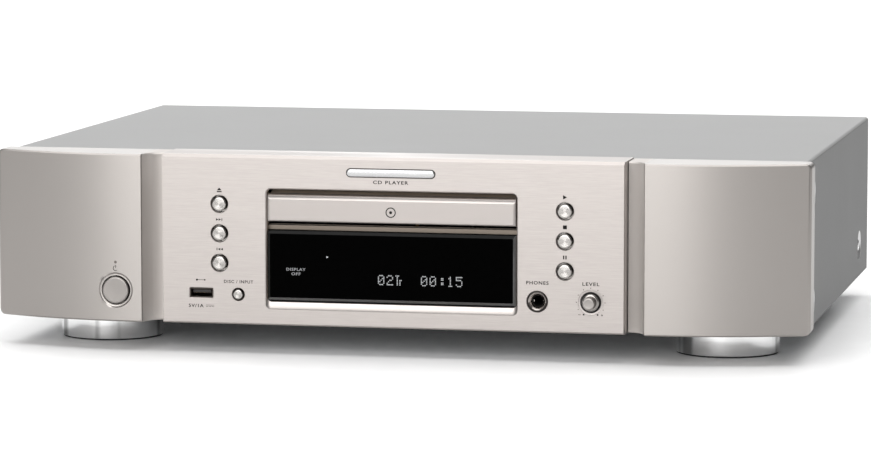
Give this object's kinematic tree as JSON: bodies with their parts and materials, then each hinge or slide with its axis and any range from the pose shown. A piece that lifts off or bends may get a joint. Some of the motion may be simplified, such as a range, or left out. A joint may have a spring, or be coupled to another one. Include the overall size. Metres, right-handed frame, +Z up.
{
  "type": "disc player",
  "caption": "Desktop disc player with a front-loading drawer, a display, push buttons and four round feet, and its working loader and optical drive inside.",
  "frame": {"origin": "on the ground under the middle of the player's outer box", "axes": "+X to the right, +Y to the back, +Z up, seen from the front"},
  "size_m": [0.44, 0.341, 0.106],
  "materials": {
    "front_aluminium": "champagne anodised, fine horizontal brushing",
    "end_aluminium": "champagne anodised extrusion",
    "key_aluminium": "spun anodised caps",
    "polished_metal": "turned and polished",
    "cover_paint": "satin silver-grey paint on folded sheet",
    "chassis_steel": "zinc-plated sheet",
    "rear_paint": "black satin paint",
    "display_acrylic": "polished black acrylic",
    "subframe_paint": "beige satin paint",
    "black_plastic": "moulded, fine grain",
    "grey_plastic": "moulded acetal",
    "circuit_board": "green solder mask with fitted components",
    "motor_steel": "drawn can",
    "socket_steel": "bright plated",
    "brass_pulley": "turned",
    "gold_plate": "gold-plated contacts in black blocks",
    "belt_rubber": "square-section belt",
    "transformer_core": "laminated core with wound bobbin",
    "sink_aluminium": "extruded, matt"
  },
  "bodies": {
    "cabinet": {"front_panel": "front_aluminium", "left_end_panel": "end_aluminium", "right_end_panel": "end_aluminium", "name_bar": "polished_metal", "top_cover": "cover_paint", "base_chassis": "chassis_steel", "rear_panel": "rear_paint", "front_left_foot": "polished_metal", "front_right_foot": "polished_metal", "rear_left_foot": "polished_metal", "rear_right_foot": "polished_metal", "front_subframe": "subframe_paint", "display_window": "display_acrylic", "display_module": "circuit_board", "power_switch": "black_plastic", "usb_socket": "socket_steel", "phones_jack": "polished_metal", "level_control": "grey_plastic", "left_key_board": "circuit_board", "right_key_board": "circuit_board", "loader_frame": "black_plastic", "clamp_bridge": "chassis_steel", "loading_motor": "motor_steel", "drive_belt": "belt_rubber", "power_transformer": "transformer_core", "power_board": "circuit_board", "heat_sink": "sink_aluminium", "main_board": "circuit_board", "analog_jacks": "gold_plate", "digital_jacks": "gold_plate", "remote_jacks": "black_plastic", "mains_inlet": "black_plastic"},
    "tray": {"disc_tray": "black_plastic", "drawer_front": "front_aluminium"},
    "drive_gear": {"drive_gear": "grey_plastic"},
    "motor_pulley": {"motor_pulley": "brass_pulley"},
    "traverse": {"traverse_frame": "black_plastic", "spindle_motor": "motor_steel", "left_guide_rod": "polished_metal", "right_guide_rod": "polished_metal", "feed_motor": "motor_steel"},
    "turntable": {"turntable": "black_plastic"},
    "clamp_puck": {"clamp_puck": "black_plastic"},
    "sled": {"laser_sled": "grey_plastic"},
    "lens": {"objective_lens": "display_acrylic"},
    "lead_screw": {"lead_screw": "polished_metal"},
    "level_knob": {"level_knob": "polished_metal", "level_shaft": "chassis_steel"},
    "remote_switch": {"remote_switch": "grey_plastic"},
    "optical_shutter": {"optical_shutter": "grey_plastic"},
    "eject_button": {"eject_button": "key_aluminium"},
    "next_button": {"next_button": "key_aluminium"},
    "previous_button": {"previous_button": "key_aluminium"},
    "play_button": {"play_button": "key_aluminium"},
    "stop_button": {"stop_button": "key_aluminium"},
    "pause_button": {"pause_button": "key_aluminium"},
    "input_button": {"input_button": "key_aluminium"},
    "power_button": {"power_button": "key_aluminium"}
  },
  "joints": [
    {"name": "tray_slide", "type": "slide", "parent": "cabinet", "child": "tray", "axis": [0, -1, 0], "range_m": [0, 0.138]},
    {"name": "drive_gear_spin", "type": "hinge", "parent": "cabinet", "child": "drive_gear", "pos_m": [0.038, -0.133, 0.0747], "axis": [0, 0, 1], "continuous": true},
    {"name": "motor_pulley_spin", "type": "hinge", "parent": "cabinet", "child": "motor_pulley", "pos_m": [0.008, -0.133, 0.0707], "axis": [0, 0, 1], "continuous": true},
    {"name": "traverse_lift", "type": "hinge", "parent": "cabinet", "child": "traverse", "pos_m": [0, -0.001, 0.0682], "axis": [-1, 0, 0], "range_deg": [0, 4]},
    {"name": "turntable_spin", "type": "hinge", "parent": "traverse", "child": "turntable", "pos_m": [0, -0.08931, 0.06954], "axis": [0, -0.0698, 0.9976], "continuous": true},
    {"name": "clamp_puck_spin", "type": "hinge", "parent": "cabinet", "child": "clamp_puck", "pos_m": [0, -0.089, 0.0857], "axis": [0, 0, 1], "continuous": true},
    {"name": "sled_slide", "type": "slide", "parent": "traverse", "child": "sled", "axis": [0, 0.9976, 0.0698], "range_m": [0, 0.035]},
    {"name": "lead_screw_spin", "type": "hinge", "parent": "traverse", "child": "lead_screw", "pos_m": [-0.029, -0.06267, 0.06138], "axis": [0, 0.9976, 0.0698], "continuous": true},
    {"name": "lens_focus", "type": "slide", "parent": "sled", "child": "lens", "axis": [0, -0.0698, 0.9976], "range_m": [-0.0005, 0.0005], "stiffness_N_per_m": 100},
    {"name": "eject_press", "type": "slide", "parent": "cabinet", "child": "eject_button", "axis": [0, 1, 0], "range_m": [0, 0.0008], "stiffness_N_per_m": 500, "springref_m": -0.0005},
    {"name": "next_press", "type": "slide", "parent": "cabinet", "child": "next_button", "axis": [0, 1, 0], "range_m": [0, 0.0008], "stiffness_N_per_m": 500, "springref_m": -0.0005},
    {"name": "previous_press", "type": "slide", "parent": "cabinet", "child": "previous_button", "axis": [0, 1, 0], "range_m": [0, 0.0008], "stiffness_N_per_m": 500, "springref_m": -0.0005},
    {"name": "play_press", "type": "slide", "parent": "cabinet", "child": "play_button", "axis": [0, 1, 0], "range_m": [0, 0.0008], "stiffness_N_per_m": 500, "springref_m": -0.0005},
    {"name": "stop_press", "type": "slide", "parent": "cabinet", "child": "stop_button", "axis": [0, 1, 0], "range_m": [0, 0.0008], "stiffness_N_per_m": 500, "springref_m": -0.0005},
    {"name": "pause_press", "type": "slide", "parent": "cabinet", "child": "pause_button", "axis": [0, 1, 0], "range_m": [0, 0.0008], "stiffness_N_per_m": 500, "springref_m": -0.0005},
    {"name": "input_press", "type": "slide", "parent": "cabinet", "child": "input_button", "axis": [0, 1, 0], "range_m": [0, 0.0008], "stiffness_N_per_m": 500, "springref_m": -0.0005},
    {"name": "power_press", "type": "slide", "parent": "cabinet", "child": "power_button", "axis": [0, 1, 0], "range_m": [0, 0.002], "stiffness_N_per_m": 500, "springref_m": -0.001},
    {"name": "level_turn", "type": "hinge", "parent": "cabinet", "child": "level_knob", "pos_m": [0.10676, -0.163, 0.03224], "axis": [0, 1, 0], "range_deg": [-150, 150]},
    {"name": "remote_switch_slide", "type": "slide", "parent": "cabinet", "child": "remote_switch", "axis": [1, 0, 0], "range_m": [0, 0.005]},
    {"name": "shutter_swing", "type": "hinge", "parent": "cabinet", "child": "optical_shutter", "pos_m": [0.098, 0.1636, 0.0488], "axis": [-1, 0, 0], "range_deg": [0, 80], "stiffness_Nm_per_rad": 0.0002, "springref_deg": -11.46}
  ],
  "couplings": [
    {"joint": "drive_gear_spin", "follows": "tray_slide", "rad_per_m": -125},
    {"joint": "motor_pulley_spin", "follows": "tray_slide", "rad_per_m": -458.33},
    {"joint": "clamp_puck_spin", "follows": "turntable_spin", "ratio": 1},
    {"joint": "lead_screw_spin", "follows": "sled_slide", "rad_per_m": -2094.4}
  ]
}
